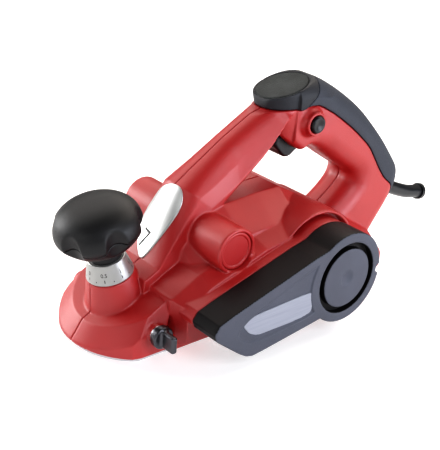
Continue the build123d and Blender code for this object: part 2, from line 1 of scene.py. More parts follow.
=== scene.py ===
"""Looks of the electric hand planer.

The moulded shells are surfaces of distance fields: a shape is an array of distances over a grid of
points, negative inside it, and shapes are joined and cut by joining and cutting their arrays. Lengths of
the shapes are in millimetres in the frame's axes, and become metres when a mesh is made.
"""

import json
import math
from functools import reduce
import bpy
import numpy as np
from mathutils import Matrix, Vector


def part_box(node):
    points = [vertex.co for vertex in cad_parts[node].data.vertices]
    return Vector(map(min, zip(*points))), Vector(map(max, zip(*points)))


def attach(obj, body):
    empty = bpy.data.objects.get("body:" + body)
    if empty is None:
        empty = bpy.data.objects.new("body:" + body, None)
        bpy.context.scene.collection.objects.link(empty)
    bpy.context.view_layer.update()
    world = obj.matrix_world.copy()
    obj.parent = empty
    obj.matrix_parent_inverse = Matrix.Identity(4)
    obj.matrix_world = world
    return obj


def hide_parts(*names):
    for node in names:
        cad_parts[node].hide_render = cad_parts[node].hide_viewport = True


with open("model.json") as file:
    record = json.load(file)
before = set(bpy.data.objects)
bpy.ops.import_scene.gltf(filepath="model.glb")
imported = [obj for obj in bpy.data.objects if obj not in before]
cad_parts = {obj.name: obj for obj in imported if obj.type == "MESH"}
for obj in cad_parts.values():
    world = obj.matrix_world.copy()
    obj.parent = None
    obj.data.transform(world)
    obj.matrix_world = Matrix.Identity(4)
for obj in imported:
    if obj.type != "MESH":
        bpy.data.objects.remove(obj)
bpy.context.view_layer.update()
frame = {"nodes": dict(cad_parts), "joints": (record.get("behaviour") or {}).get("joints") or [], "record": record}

import openvdb as vdb
from mathutils import Matrix, Vector

MM = 0.001
STEP = 0.75  # grid spacing of the moulded shells
OUTSIDE = 5.0  # distance that the grids take far from a surface

# ---------------------------------------------------------------- distance fields


class Field:
    """A regular grid of points, with a distance array to fill, in millimetres."""

    def __init__(self, low, high, step=STEP):
        self.low = np.array(low, float)
        self.step = step
        counts = [int(math.ceil((b - a) / step)) + 1 for a, b in zip(low, high)]
        axes = [a + step * np.arange(n, dtype=np.float32) for a, n in zip(low, counts)]
        self.x = axes[0][:, None, None].astype(np.float32)
        self.y = axes[1][None, :, None].astype(np.float32)
        self.z = axes[2][None, None, :].astype(np.float32)

    def shape(self):
        """Number of points along X, Y and Z."""
        return self.x.shape[0], self.y.shape[1], self.z.shape[2]

    def outline(self, points):
        """Distance to a closed outline in X and Z, the same for every Y."""
        return polygon(points, self.x[:, :, 0], self.z[0])[:, None, :]

    def slab(self, flat, low_y, high_y, r=0.8):
        """The flat outline made solid between two Y planes, its edges rounded."""
        across = np.maximum(low_y - self.y, self.y - high_y)
        return rounded(flat, across, r)

    def rod(self, centre, radius, low_y, high_y, r=0.8):
        """Cylinder along Y."""
        return self.slab(self.circle(centre, radius), low_y, high_y, r)

    def circle(self, centre, radius):
        """Distance to a circle in X and Z, the same for every Y."""
        return np.hypot(self.x - centre[0], self.z - centre[1]) - radius

    def block(self, low, high, r=0.5):
        """Box between two corners, its edges rounded."""
        middle = [(a + b) / 2 for a, b in zip(low, high)]
        half = [(b - a) / 2 - r for a, b in zip(low, high)]
        dx, dy, dz = (np.abs(v - m) - h for v, m, h in zip((self.x, self.y, self.z), middle, half))
        far = np.sqrt(np.maximum(dx, 0) ** 2 + np.maximum(dy, 0) ** 2 + np.maximum(dz, 0) ** 2)
        return far + np.minimum(np.maximum(np.maximum(dx, dy), dz), 0) - r

    def ball(self, centre, radius):
        """Distance to a sphere."""
        away = (self.x - centre[0]) ** 2 + (self.z - centre[2]) ** 2 + (self.y - centre[1]) ** 2
        return np.sqrt(away) - radius

    def turned(self, foot, axis, profile):
        """Solid of revolution: profile gives a distance from radius and height arrays."""
        ux, uz = axis
        height = (self.x - foot[0]) * ux + (self.z - foot[1]) * uz
        side = (self.x - foot[0]) * uz - (self.z - foot[1]) * ux
        radius = np.sqrt(side**2 + self.y**2)
        return profile(radius, height)

    def mesh(self, distance, name):
        """Closed mesh of the surface where the distance is zero."""
        grid = vdb.FloatGrid(OUTSIDE)
        full = np.broadcast_to(distance, self.shape())
        grid.copyFromArray(np.array(full, np.float32, order="C"))
        points, quads = grid.convertToQuads(isovalue=0.0)
        data = bpy.data.meshes.new(name)
        corners = points * self.step + self.low
        data.from_pydata((corners * MM).tolist(), [], quads.tolist())
        data.update()
        return data


def polygon(points, across, up):
    """Signed distance from a closed polygon to the points of a flat grid."""
    pts = np.array(points, np.float32)
    best = np.full(np.broadcast(across, up).shape, 1e9, np.float32)
    inside = np.zeros(best.shape, bool)
    for (ax, ay), (bx, by) in zip(pts, np.roll(pts, -1, 0)):
        ex, ey = bx - ax, by - ay
        wx, wy = across - ax, up - ay
        t = np.clip((wx * ex + wy * ey) / (ex * ex + ey * ey), 0, 1)
        best = np.minimum(best, (wx - ex * t) ** 2 + (wy - ey * t) ** 2)
        crosses = (up >= min(ay, by)) & (up < max(ay, by))
        if ey:
            inside ^= crosses & (wx < ex * wy / ey)
    return np.where(inside, -1, 1) * np.sqrt(best)


def rounded(a, b, r):
    """Intersection of two distances, with the edge between them rounded."""
    a, b = a + r, b + r
    return np.minimum(np.maximum(a, b), 0) + np.hypot(np.maximum(a, 0), np.maximum(b, 0)) - r


def common(*distances):
    """Intersection with sharp edges."""
    return reduce(np.maximum, distances)


def join(a, b, k=2.0):
    """Union with a fillet of about k."""
    h = np.maximum(k - np.abs(a - b), 0) / k
    return np.minimum(a, b) - h * h * k / 4


def cut(a, b, k=0.6):
    """a without b, the new edge softened by about k."""
    return -join(-a, b, k)


def both(a, b, k=0.6):
    """Intersection with the edge softened by about k."""
    return -join(-a, -b, k)


def soften(points, rounds=2, share=0.25):
    """Outline with its corners cut into curves."""
    pts = np.array(points, float)
    for _ in range(rounds):
        ahead = np.roll(pts, -1, 0)
        near = pts * (1 - share) + ahead * share
        far = pts * share + ahead * (1 - share)
        pts = np.stack([near, far], 1).reshape(-1, 2)
    return pts


def smoothstep(v, low, high):
    """Rises smoothly from 0 to 1 between two values."""
    t = np.clip((v - low) / (high - low), 0, 1)
    return t * t * (3 - 2 * t)


# ---------------------------------------------------------------- pieces and materials


def node(tree, kind, **values):
    """Shader node with its inputs or settings given by name."""
    made = tree.nodes.new(kind)
    for key, value in values.items():
        if key in made.inputs:
            made.inputs[key].default_value = value
        else:
            setattr(made, key, value)
    return made


ROUGH_SPREAD = 0.08  # how far a finish's roughness varies either way


def material(name, colour, rough, grain=0.0, grain_size=0.0006, metal=0.0, coat=0.0, specular=0.5,
             mottle=0.06, streaks=None):
    """Procedural finish: colour variation, roughness variation and a fine bump, in object space."""
    made = bpy.data.materials.new(name)
    made.use_nodes = True
    tree = made.node_tree
    shader = tree.nodes["Principled BSDF"]
    shader.inputs["Metallic"].default_value = metal
    shader.inputs["Coat Weight"].default_value = coat
    shader.inputs["Coat Roughness"].default_value = 0.25
    shader.inputs["Specular IOR Level"].default_value = specular
    place = node(tree, "ShaderNodeTexCoord")
    source = place.outputs["Object"]
    if streaks:
        mapping = node(tree, "ShaderNodeMapping", Scale=streaks)
        tree.links.new(source, mapping.inputs["Vector"])
        source = mapping.outputs["Vector"]
    broad = node(tree, "ShaderNodeTexNoise", Scale=28.0, Detail=5.0, Roughness=0.6)
    fine = node(tree, "ShaderNodeTexNoise", Scale=1.0 / grain_size, Detail=3.0, Roughness=0.7)
    tree.links.new(source, broad.inputs["Vector"])
    tree.links.new(source, fine.inputs["Vector"])
    ramp = node(tree, "ShaderNodeValToRGB")
    dark = [c * (1 - mottle) for c in colour] + [1]
    light = [min(c * (1 + mottle), 1) for c in colour] + [1]
    ramp.color_ramp.elements[0].color, ramp.color_ramp.elements[0].position = dark, 0.3
    ramp.color_ramp.elements[1].color, ramp.color_ramp.elements[1].position = light, 0.7
    tree.links.new(broad.outputs["Fac"], ramp.inputs["Fac"])
    tree.links.new(ramp.outputs["Color"], shader.inputs["Base Color"])
    spread = node(tree, "ShaderNodeMapRange")
    spread.inputs["To Min"].default_value = rough - ROUGH_SPREAD
    spread.inputs["To Max"].default_value = rough + ROUGH_SPREAD
    tree.links.new(fine.outputs["Fac"], spread.inputs["Value"])
    tree.links.new(spread.outputs["Result"], shader.inputs["Roughness"])
    if grain:
        bump = node(tree, "ShaderNodeBump", Strength=grain, Distance=0.0004)
        tree.links.new(fine.outputs["Fac"], bump.inputs["Height"])
        tree.links.new(bump.outputs["Normal"], shader.inputs["Normal"])
    return made


red = material("red_plastic", (0.42, 0.015, 0.016), 0.44, grain=0.25, grain_size=0.0007, specular=0.9)
grip_rubber = material(
    "grip_rubber", (0.045, 0.05, 0.065), 0.62, grain=0.45, grain_size=0.0006, mottle=0.12)
cap_rubber = material("cap_rubber", (0.055, 0.06, 0.06), 0.8, grain=1.0, grain_size=0.0013, mottle=0.35)
collar_rubber = material(
    "collar_rubber", (0.020, 0.022, 0.028), 0.55, grain=0.3, grain_size=0.0006, mottle=0.1)
black = material("black_plastic", (0.008, 0.008, 0.010), 0.38, grain=0.10, grain_size=0.0008)
knob_black = material("knob_black", (0.010, 0.010, 0.011), 0.48, grain=0.25, grain_size=0.0008)
# Outer face of the belt cover: its fine texture is real, but its lighter grey-blue tone over the black of the
# sides is painted sheen, light scattered off that texture.
cover_face_painted_sheen = material("cover_face_painted_sheen", (0.075, 0.08, 0.105), 0.55, grain=0.5, grain_size=0.0007, mottle=0.1)
cover_side = material(
    "cover_side", (0.009, 0.008, 0.009), 0.5, grain=0.1, grain_size=0.001, specular=0.3)
silver = material("silver_paint", (0.40, 0.40, 0.39), 0.33, grain=0.05, metal=0.6, grain_size=0.0005)
label_silver = material("label_silver", (0.30, 0.31, 0.36), 0.55, metal=0.1, streaks=(1, 1, 30))
plate_white = material("plate_white", (0.55, 0.56, 0.55), 0.35, grain=0.04, metal=0.5)
cast = material("cast_aluminium", (0.66, 0.67, 0.69), 0.36, grain=0.2, metal=1.0, streaks=(1, 12, 1))
steel = material("steel", (0.50, 0.50, 0.52), 0.3, grain=0.1, metal=1.0, streaks=(20, 1, 1))
dark_steel = material("dark_steel", (0.10, 0.10, 0.11), 0.3, grain=0.15, metal=0.9)
brass = material("brass", (0.70, 0.48, 0.18), 0.3, grain=0.1, metal=1.0)
copper = material("copper", (0.60, 0.22, 0.09), 0.35, grain=0.6, metal=0.9, streaks=(1, 6, 1))
laminations = material("laminations", (0.25, 0.25, 0.26), 0.45, grain=0.8, metal=0.9, streaks=(1, 60, 1))
sleeve_black = material("sleeve_rubber", (0.014, 0.015, 0.018), 0.35, grain=0.1, coat=0.1)
carbon = material("carbon", (0.03, 0.03, 0.03), 0.7, grain=0.5)

NODE_FINISH = {
    "red": red, "red_housing": red,
    "soft_grip": grip_rubber, "belt_rubber": sleeve_black, "sleeve_rubber": sleeve_black,
    "black_plastic": black, "dark_cover": cover_face_painted_sheen, "silver_print": silver,
    "cast_aluminium": cast, "steel": steel, "dark_steel": dark_steel, "core_steel": laminations,
    "copper_winding": copper, "brass": brass, "carbon": carbon,
}
for part in frame["record"]["subparts"]:
    made = frame["nodes"][part["node"]]
    made.data.materials.clear()
    made.data.materials.append(NODE_FINISH[part["material_slot"]])


def piece(data, finish, body, slot, *nodes):
    """A visible piece that rides on a body and stands for CAD nodes."""
    made = bpy.data.objects.new(data.name, data)
    bpy.context.scene.collection.objects.link(made)
    data.materials.append(finish)
    data.polygons.foreach_set("use_smooth", [True] * len(data.polygons))
    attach(made, body)
    if nodes:
        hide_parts(*nodes)
    return made


# ---------------------------------------------------------------- places, from the frame


def centre(name):
    """Middle of a CAD node in millimetres."""
    low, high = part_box(name)
    return [(a + b) / 2 / MM for a, b in zip(low, high)]


def joint_place(name):
    """X and Z of a joint in millimetres."""
    x, _, z = joints[name]["pos_m"]
    return [x / MM, z / MM]


joints = {j["name"]: j for j in frame["joints"]}
mounts = {m["name"]: m for m in frame["record"]["mounts"]}
MOTOR = joint_place("rotor_spin")
DRUM = joint_place("drum_spin")
KNOB_FOOT = joint_place("depth_turn")
KNOB_AXIS = joints["depth_turn"]["axis"][::2]
GUIDE_BOLT = joint_place("fence_bolt_turn")
TRIGGER_PIN = joint_place("trigger_pull")
CHUTE = [v / MM for v in mounts["chip_outlet"]["pos_m"][::2]]
LOCK = centre("lock_button")[::2]
LUG = centre("belt_cover_screw")[::2]
BODY_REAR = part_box("rear_shoe")[1].x / MM + 1.6

# ---------------------------------------------------------------- housing

ARM = [
    (-122, 30), (-121, 44), (-110.5, 50), (-84, 97.5), (-74, 104.5), (-46, 123), (-14, 141), (-8, 147),
    (8, 147), (14, 143), (3, 139), (-28, 110.5), (-53, 90), (-67, 78), (-79, 67), (-86, 54), (-92, 40),
    (-96, 30),
]
LOOP = [
    (-14, 138), (-14, 147), (-7, 155.6), (7, 160.4), (20, 160.4), (32, 156.6), (54, 144.4), (78, 128),
    (105, 102), (120, 84.4), (127.5, 74.8), (128, 62.5), (121.5, 47.7), (109.5, 31.8), (99, 17),
    (93, 7), (40, 7), (43, 48), (52.6, 53), (67.3, 63.2), (75, 70.8), (75.5, 78), (57.6, 88.8),
    (42, 99), (36, 104), (23, 111), (15, 107.5), (9, 110.5), (-6, 123),
]
GRIP = [
    (-30, 138.5), (3.6, 139.6), (8, 138.6), (16, 141), (25, 140.3), (42.7, 130.5), (63.6, 116),
    (82.6, 100.1), (91.6, 87.8), (97.4, 79.5), (105.3, 70), (116, 62), (117.5, 49), (106.5, 33), (96, 18),
    (90, 8), (120, 0), (150, 40), (150, 175), (-30, 175),
]
HUMP = [
    (-100, 40), (-92, 60), (-75, 80), (-59, 84.5), (-30, 87), (-9, 87.5), (3, 81.5), (24, 70), (50, 55),
    (71, 43), (94, 29), (100, 7), (-100, 7),
]
BODY = [
    (-116.7, 7), (-116.7, 39.5), (-95, 51.5), (-48.6, 67.3), (-8, 74.6), (5, 74.6), (28, 64),
    (48, 47), (66, 38), (80, 27), (100, 12), (100, 7),
]
COVER = [
    (-110.7, 40.4), (-115.2, 34.1), (-113.6, 29.3), (-93.3, 13.6), (-87, 9.6), (-80.8, 8.1),
    (-22.2, 16.3), (-5, 20), (-5, 66), (-21.2, 67.8),
]
CHEEK = [(-84, 10), (-84, 42), (-42, 38), (-38, 10)]
CHEEK_ROOM = [(-82, 6), (-82, 37), (-41, 34), (-41, 6)]
BODY_LOW = 7.0  # the housing stands on the soles at this height
HUMP_FLAT = 20.5  # half width of the hump's flat top
HUMP_SLOPE = 0.74  # fall of its sides
BODY_HALF = 42.6
REAR_R = 21.0  # round rear corners in plan
MOTOR_R = 37.0  # round part of the housing about the motor
DRUM_BORE_R = 26.5  # room for the cutter drum
DRUM_BORE_Y = 40.6
BEARING_ROOM_R = 16.3  # room for the drum's bearings and pulley hub
NOSE_R = 52.35  # radius of the bowed front of the nose
NOSE_TIP = -163.5
NOSE_REAR = -100
NOSE_LOW = 3.6
NOSE_WALL = 2.8
SHOE_ROOM_Y = 40.1  # half width of the room for the front shoe
GUIDE_BOSS_R = 6.0
LOCK_HOLE_R = 6.4
CHUTE_R = 15.6
CHUTE_END = 52.1  # far end of the chute from the middle
SOCKET_R = 13.1  # sockets at both ends of the chute
SOCKET_Y = 22.4  # where they end, from the middle
DUCT_R = 11.6  # duct between the sockets
FLANK_Y = -62.3  # plane where the belt cover meets the housing
COVER_Y = -85.2  # outer face of the belt cover
RING_R = 32.7  # round end of the belt cover
BEVEL_Y = -55.0  # outer edge of the bevel band beside the cover
RING_LOW = 22.2  # lower edge of the graduated ring, along the knob's axis
RING_LOW_R = 16.0  # its radius there
RING_GAP = 0.3  # between the ring and the cone
CONE_LOW = -12
CORD_BOSS_R = 11
CORD_EXIT = ((126, 58), (0.84, -0.54))  # place and direction, in X and Z, of the boss round the cord
CAP_FACE = ((5, 152.6), (-0.266, 0.964))  # place and normal, in X and Z, of the flat on top of the grip
CAP_OVAL = (20.0, 16.6)  # half length and half width of the cap
ARM_RIDGE = 9  # the first points of ARM run up its front and over its top
ARM_HALF = 21.2  # half width of the arm under its facets
CROWN_X = (-125, -110, -100, -86, -64, -46, -31, -13, 0)
CROWN_DROP = (0, 1, 3, 7, 11, 12, 9, 6.5, 5.5)  # how far the arm's long edges lie under its ridge there
CROWN_HALF = (19.8, 19.8, 19.8, 19.4, 18.2, 16.8, 15.2, 13.7, 13.2)  # and how far from the middle


def nose_front(f):
    """Distance to the bowed front of the nose."""
    return np.hypot(f.x - (NOSE_TIP + NOSE_R), f.y) - NOSE_R


def nose(f):
    """Nose: bowed front, faceted corners, a bevelled band and a slope up to the knob's cone."""
    front = nose_front(f)
    side = np.abs(f.y) - BODY_HALF
    corner = (-(f.x + 138) * 0.28 + np.abs(f.y) - BODY_HALF) / 1.038
    plan = common(front, side, corner, f.x - NOSE_REAR)
    bevel = (f.z - 6.0 - (f.x + 162) * 0.47 + front * 0.98) * 0.68
    side_bevel = (f.z - 18.6 - (f.x + 137.3) * 0.4 + side * 2.0) * 0.44
    deck = (f.z - 18.8 - (f.x + 153) * 0.5) * 0.89
    solid = both(plan, common(bevel, side_bevel, deck), 0.25)
    return both(solid, NOSE_LOW - f.z, 0.4)


def cone(f):
    """Boss that carries the graduated ring."""
    def profile(radius, height):
        flare = RING_LOW_R + 0.25 * (RING_LOW - RING_GAP - height)
        ends = np.maximum(height - RING_LOW + RING_GAP, CONE_LOW - height)
        return both((radius - flare) * 0.96, ends, 0.6)

    return f.turned(KNOB_FOOT, KNOB_AXIS, profile)


def rear_plan(f):
    """Distance to the plan of the body, with its rear corners rounded."""
    dx = np.maximum(f.x - (BODY_REAR - REAR_R), 0)
    dy = np.maximum(np.abs(f.y) - (BODY_HALF - REAR_R), 0)
    return np.hypot(dx, dy) - REAR_R


def hump(f):
    """Motor hump: flat along the middle, sloping down to both sides."""
    fall = np.maximum(np.abs(f.y) - HUMP_FLAT, 0) * HUMP_SLOPE
    flat = polygon(HUMP, f.x[:, :, 0], f.z[0])
    solid = np.empty(f.shape(), np.float32)
    levels = f.z[0, 0]
    for j, drop in enumerate(fall[0, :, 0]):
        lower = np.clip((levels + drop - levels[0]) / f.step, 0, len(levels) - 1.001)
        base = lower.astype(int)
        share = (lower - base).astype(np.float32)
        solid[:, j, :] = flat[:, base] * (1 - share) + flat[:, base + 1] * share
    return both(np.maximum(solid * 0.85, BODY_LOW - f.z), np.abs(f.y) - BODY_HALF, 0.8)


def arm(f):
    """Sloping arm: a crowned face between two crisp edges, with a flat facet down each side."""
    ridge = f.outline(ARM[:ARM_RIDGE] + [(60, 147), (60, -80), (-122, -80)])
    drop = np.interp(f.x, CROWN_X, CROWN_DROP)
    half = np.interp(f.x, CROWN_X, CROWN_HALF)
    crowned = ridge + 0.93 * drop * np.minimum(np.abs(f.y) / half, 1) ** 2.6
    side = np.abs(f.y) - half - (ARM_HALF - half) * np.clip(-crowned / 10, 0, 1)
    solid = rounded(np.maximum(f.outline(ARM), crowned), side * 0.86, 0.3)
    disc, lift = cap_disc(f)
    past_cap = np.maximum(0.8 - disc, -8.5 - lift)
    return cut(solid, past_cap, 0.4)


def cap_disc(f):
    """Distance to the oval of the cap about its normal, and the height over the cap's face."""
    (x, z), (nx, nz) = CAP_FACE
    half_length, half_width = CAP_OVAL
    lift = (f.x - x) * nx + (f.z - z) * nz
    along = (f.x - x) * nz - (f.z - z) * nx
    return (np.hypot(along / half_length, f.y / half_width) - 1) * half_width, lift


def handle(f, grow=0.0):
    """Loop handle, oval in section, with a slanting flat on top of its front end."""
    flat = f.outline(soften(LOOP, 2, 0.22))
    rear = smoothstep(f.x, 14, 46)
    half = 18.6 + 1.9 * rear + (1.7 - 1.7 * rear) * (grow > 0)
    edge = 5.0 + 10.0 * np.maximum(rear, smoothstep(f.z, 140, 148))
    solid = rounded(flat - grow, np.abs(f.y) - half - grow, edge)
    disc, lift = cap_disc(f)
    front_end = np.where(f.x < CAP_FACE[0][0], disc - 1.4 - grow, -30)
    return both(both(solid, front_end, 1.0), lift, 0.8)


def grip_zone(f):
    """Where the soft grip covers the handle."""
    return f.outline(soften(GRIP, 1, 0.2))


def lock_boss(f):
    """Collar in which the lock-off button slides."""
    rim = f.rod(LOCK, LOCK_HOLE_R + 2.3, -25.0, -10, 1.0)
    return join(rim, f.rod(LOCK, 10.5, -20.8, -10, 2.0), 2.5)


def cover_flat(f):
    """Distance to the outline of the belt cover."""
    return join(f.outline(soften(COVER, 1, 0.12)), f.circle(MOTOR, RING_R), 0.6)


def body(f):
    """Low body with its rounded rear, the motor hump and the block ahead of the drum."""
    flat = join(f.outline(BODY), f.circle(MOTOR, MOTOR_R), 4.0)
    solid = join(f.slab(flat, -BODY_HALF, BODY_HALF, 1.0), hump(f), 0.8)
    solid = both(solid, rear_plan(f), 1.5)
    front_block = f.outline([(-117, 1), (-117, 40), (-78, 40), (-78, 1)])
    return join(solid, f.slab(front_block, -BODY_HALF, BODY_HALF, 1.0), 1.0)


def bevel_band(f):
    """Sloping band between the body and the belt cover, stepped round the motor."""
    out = np.maximum(-BODY_HALF - f.y, 0)
    flat = join(f.outline(BODY) + out * 0.38, f.circle(MOTOR, MOTOR_R + 1) + out * 0.06, 1.0)
    band = common(flat * 0.9, BEVEL_Y - f.y, f.y, f.x - 30)
    step = np.maximum(f.circle(MOTOR, RING_R + 2.5), f.y + 48)
    return cut(band, step, 0.3)


def cord_boss(f):
    """Round boss where the cord sleeve leaves the handle."""
    def profile(radius, height):
        return rounded(radius - CORD_BOSS_R, np.maximum(height - 7.0, -12 - height), 4.5)

    return f.turned(*CORD_EXIT, profile)


def drum_boss(f):
    """Bulge over the drum's bearing on the far side."""
    round_end = f.rod((DRUM[0] + 2, DRUM[1] + 3), 19.5, 30, CHUTE_END, 2.0)
    return join(round_end, f.slab(f.outline(CHEEK), 30, CHUTE_END, 2.0), 1.0)


def housing(f):
    """Both halves of the red case as one solid."""
    solid = join(body(f), bevel_band(f), 0.3)
    solid = join(solid, f.slab(cover_flat(f) + 0.4, FLANK_Y + 0.2, -40, 0.3), 0.3)
    solid = join(solid, arm(f), 0.6)
    solid = join(solid, handle(f), 1.5)
    solid = join(solid, nose(f), 0.8)
    solid = join(solid, cone(f), 1.2)
    solid = join(solid, f.rod(CHUTE, CHUTE_R, -CHUTE_END, CHUTE_END, 1.2), 0.8)
    solid = join(solid, lock_boss(f), 2.0)
    solid = join(solid, cord_boss(f), 2.0)
    solid = join(solid, drum_boss(f), 3.0)
    for low, high in ((-45, -38), (38, 45)):
        solid = join(solid, f.rod(GUIDE_BOLT, GUIDE_BOSS_R, low, high, 1.0), 1.5)
    return solid


def hollows(f, solid):
    """Cuts everything that the case is open for."""
    sleeve_room = np.maximum(handle(f, 3.0), -handle(f, -2.6))
    solid = cut(solid, np.maximum(sleeve_room, grip_zone(f)), 0.4)
    solid = cut(solid, f.rod(CHUTE, DUCT_R, -60, 60, 0.1), 0.5)
    for low, high in ((-60, -SOCKET_Y), (SOCKET_Y, 60)):
        solid = cut(solid, f.rod(CHUTE, SOCKET_R, low, high, 0.1), 0.5)
    solid = cut(solid, f.rod(LOCK, LOCK_HOLE_R, -30, -12, 0.1), 0.4)
    over_rear_sole = common(f.z - (BODY_LOW + 0.2), -(f.x + 79), np.abs(f.y) - 60)
    solid = cut(solid, over_rear_sole, 0.3)
    solid = cut(solid, f.rod(DRUM, DRUM_BORE_R, -DRUM_BORE_Y, DRUM_BORE_Y, 0.2), 0.3)
    solid = cut(solid, f.block((-124, -SHOE_ROOM_Y, -4), (-60, SHOE_ROOM_Y, 13)), 0.3)
    inside_nose = common(nose(f) + NOSE_WALL, f.z - 12, f.x + 112)
    over_front_sole = common(f.z - 5, nose_plan(f) + 2.6, f.x + 112)
    solid = cut(solid, np.minimum(inside_nose, over_front_sole), 0.3)
    for low, high in ((-59.0, -40.5), (40.5, 50.2)):
        solid = cut(solid, f.rod(DRUM, BEARING_ROOM_R, low, high, 0.2), 0.2)
        solid = cut(solid, f.slab(f.outline(CHEEK_ROOM), low, high, 0.2), 0.2)
    shoe_gap = f.outline([(-118.0, -3), (-118.0, 24), (-116.6, 29), (-115.4, 24), (-115.4, -3)])
    solid = cut(solid, np.maximum(shoe_gap, 38.5 - np.abs(f.y)), 0.3)
    trigger_slot = f.outline([(-12, 98), (-12, 124), (30, 124), (30, 98)])
    solid = cut(solid, f.slab(trigger_slot, -8.8, 8.8, 1.0), 0.5)
    return vents(f, solid)


def nose_plan(f):
    """Distance to the plan of the nose."""
    return np.maximum(nose_front(f), np.abs(f.y) - BODY_HALF)


VENT_ROWS = 7
VENT_PITCH = 7.0
VENT_R = 28.0  # the slots end on this circle


def vents(f, solid):
    """Air slots of the motor on the right side, and the room behind them."""
    solid = cut(solid, f.rod(MOTOR, 30.5, 22, 40.1, 0.5), 0.3)
    for row in range(VENT_ROWS):
        z = MOTOR[1] + (row - (VENT_ROWS - 1) / 2) * VENT_PITCH
        half = math.sqrt(VENT_R**2 - (z - MOTOR[1]) ** 2)
        slot = f.block((MOTOR[0] - half, 38, z - 1.7), (MOTOR[0] + half, 46, z + 1.7), 1.2)
        solid = cut(solid, slot, 0.8)
    return solid


shell = Field((-166, -64, -1), (136, 54, 152))
case = hollows(shell, housing(shell))
for name, sign in (("left", 1), ("right", -1)):
    half = both(case, sign * shell.y + 0.04, 0.3)
    piece(shell.mesh(half, "case_" + name), red, "root", "red_housing", "housing_" + name)

# ---------------------------------------------------------------- indicator plate on the arm

PLATE_FOOT = np.array((-110.5, 50.0))
PLATE_RISE = np.array((-84.0, 97.5)) - PLATE_FOOT
PLATE_RISE /= np.linalg.norm(PLATE_RISE)
LEAF = [
    (-1.5, -2), (7, 5), (12, 13), (16.5, 22), (18.8, 31), (18.3, 40), (13, 48), (5, 53), (-2, 54.5),
    (-8, 53), (-11.8, 46.5), (-12.8, 38), (-10.5, 24), (-6, 8),
]
MARK = [(7.1, 19.9), (0.4, 18.3), (5.3, 6.6), (6.7, 6.9), (2.3, 17.0), (7.4, 18.3)]


def on_plate(f, outline):
    """Distance to an outline given across and up the arm's front face."""
    up = (f.x - PLATE_FOOT[0]) * PLATE_RISE[0] + (f.z - PLATE_FOOT[1]) * PLATE_RISE[1]
    return polygon(outline, np.broadcast_to(f.y, f.shape()), up + 0 * f.y)


def indicator():
    """Pale leaf on the arm's front face, with its printed corner mark."""
    f = Field((-118, -20, 40), (-74, 24, 106), STEP * 0.5)
    face = arm(f)
    leaf = on_plate(f, soften(LEAF, 2, 0.25))
    depth = (f.x - PLATE_FOOT[0]) * PLATE_RISE[1] - (f.z - PLATE_FOOT[1]) * PLATE_RISE[0]
    plate = rounded(leaf, np.maximum(face - 0.55, -face - 1.2), 0.35)
    plate = np.maximum(plate, depth - 14)
    piece(f.mesh(plate, "indicator_leaf"), plate_white, "root", "silver_print", "indicator_plate")
    mark = np.maximum(on_plate(f, MARK), np.maximum(face - 0.8, -face - 0.2))
    piece(f.mesh(mark, "indicator_mark"), black, "root", "black_plastic")


indicator()

# ---------------------------------------------------------------- grip

COLLAR = [(40, 175), (25.2, 156.2), (22.7, 149.2), (11.2, 140.3), (4, 130), (-40, 130), (-40, 175)]


def soft_handle():
    """Rubber sleeve of the handle, its glossy collar and the textured cap on top."""
    f = Field((-20, -23, 5), (132, 23, 163), STEP * 0.85)
    sleeve = both(cut(handle(f, 0.3), handle(f, -2.5), 0.4), grip_zone(f) + 0.45, 0.8)
    sleeve = cut(sleeve, f.rod(LOCK, 9.4, -30, -10, 0.3), 0.5)
    front = f.outline(soften(COLLAR, 2, 0.25))
    rear = cut(sleeve, front - 0.2, 0.4)
    piece(f.mesh(rear, "soft_grip"), grip_rubber, "root", "soft_grip", "handle_grip")
    disc, lift = cap_disc(f)
    collar = both(sleeve, front, 0.4)
    collar = cut(collar, np.maximum(disc - 0.5, -0.9 - lift), 0.3)
    piece(f.mesh(collar, "grip_collar"), collar_rubber, "root", "soft_grip")
    cap = rounded(disc, np.maximum(lift - 0.1, -2.2 - lift), 0.5)
    piece(f.mesh(cap, "grip_cap"), cap_rubber, "root", "soft_grip")


soft_handle()

# ---------------------------------------------------------------- belt cover

RECESS = [(-99, 32.5), (-86.5, 17), (-14, 24.5), (-14, 62), (-27, 60)]
LABEL = [(-92, 33), (-88, 38), (-33.5, 40.8), (-30.5, 37), (-31, 25), (-42, 23), (-78, 22.5), (-86, 26)]


def cover_shape(f):
    """Belt cover: dished face with a rim, an annular groove, a round dimple and a screw lug."""
    flat = cover_flat(f)
    ring = f.circle(MOTOR, RING_R)
    solid = f.slab(flat, COVER_Y, FLANK_Y, 1.1)
    solid = join(solid, f.rod(LUG, 5.2, -79, FLANK_Y, 0.8), 1.5)
    recess = np.maximum(f.outline(soften(RECESS, 2, 0.2)), -ring + 0.8)
    solid = cut(solid, np.maximum(recess, f.y - (COVER_Y + 0.9)), 0.5)
    groove = np.maximum(ring + 7.0, -ring - 11.2)
    solid = cut(solid, np.maximum(groove, f.y - (COVER_Y + 5.0)), 0.5)
    solid = cut(solid, f.ball((MOTOR[0], COVER_Y - 9, MOTOR[1]), 10.6), 0.6)
    solid = cut(solid, f.rod(LUG, 3.6, -90, -72, 0.3), 0.4)
    seam = np.abs(f.y - (FLANK_Y - 0.2)) - 0.25
    return cut(solid, np.maximum(seam, -flat - 0.5), 0.2)


def paint_front_sheen(made, finish):
    """Gives the faces on the outside of the belt cover a second material, a lighter grey-blue that is painted
    sheen over their real texture.
    """
    made.data.materials.append(finish)
    faces = made.data.polygons
    facing = np.empty(len(faces) * 3)
    middle = np.empty(len(faces) * 3)
    faces.foreach_get("normal", facing)
    faces.foreach_get("center", middle)
    # The outer faces, turned towards -Y, take the lighter grey-blue of painted sheen.
    front = (facing[1::3] < -0.55) & (middle[1::3] < (COVER_Y + 2.5) * MM)
    faces.foreach_set("material_index", front.astype(np.int32))


